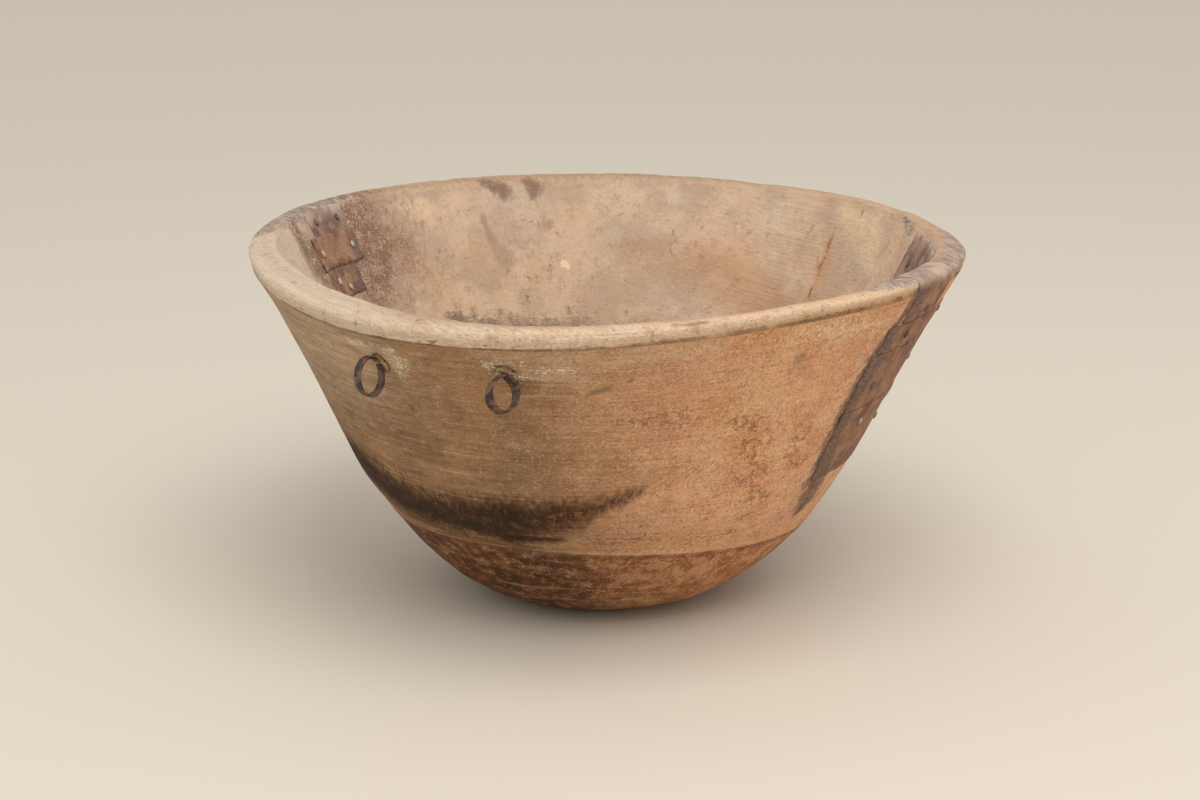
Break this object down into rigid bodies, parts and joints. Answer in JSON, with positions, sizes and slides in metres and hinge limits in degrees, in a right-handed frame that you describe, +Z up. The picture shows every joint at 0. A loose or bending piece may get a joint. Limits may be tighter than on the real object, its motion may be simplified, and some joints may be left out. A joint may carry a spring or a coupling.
{
  "type": "turned wooden bowl",
  "caption": "Large deep turned wooden bowl with a rolled lip, bent strap eyes in its wall and nailed sheet repairs.",
  "frame": {"origin": "centre of the flat foot that the bowl stands on", "axes": "+Z up through the mouth, -Y towards the front with the two strap eyes, +X towards the end with the nailed outside plates"},
  "size_m": [0.4431, 0.4484, 0.228],
  "materials": {
    "wood": "worn dry matt wood",
    "iron": "dark oxidised iron",
    "packing": "dry pale resin",
    "sheet": "rusted thin sheet",
    "nails": "worn pale nail heads"
  },
  "bodies": {
    "vessel": {"bowl": "wood", "left_inside_plate_top": "sheet", "left_inside_plate_middle": "sheet", "left_inside_plate_bottom": "sheet", "right_inside_plate": "sheet", "rim_plate": "sheet", "right_plate_upper": "sheet", "right_plate_middle": "sheet", "right_plate_lower": "sheet", "left_inside_plate_top_nail_1": "nails", "left_inside_plate_top_nail_2": "nails", "left_inside_plate_middle_nail_1": "nails", "left_inside_plate_middle_nail_2": "nails", "left_inside_plate_bottom_nail_1": "nails", "left_inside_plate_bottom_nail_2": "nails", "right_inside_plate_nail_1": "nails", "right_inside_plate_nail_2": "nails", "rim_plate_nail_1": "nails", "rim_plate_nail_2": "nails", "right_plate_upper_nail_1": "nails", "right_plate_upper_nail_2": "nails", "right_plate_middle_nail_1": "nails", "right_plate_middle_nail_2": "nails", "right_plate_lower_nail_1": "nails", "right_plate_lower_nail_2": "nails"},
    "left_strap_eye": {"left_eye": "iron", "left_packing": "packing"},
    "right_strap_eye": {"right_eye": "iron", "right_packing": "packing"}
  },
  "joints": [
    {"name": "left_eye_turn", "type": "hinge", "parent": "vessel", "child": "left_strap_eye", "pos_m": [-0.12435, -0.16207, 0.18682], "axis": [-0.603, -0.634, -0.4842], "range_deg": [-41, 29]},
    {"name": "right_eye_turn", "type": "hinge", "parent": "vessel", "child": "right_strap_eye", "pos_m": [-0.05195, -0.20531, 0.1921], "axis": [-0.2096, -0.7979, -0.5651], "range_deg": [-66, 4]}
  ]
}
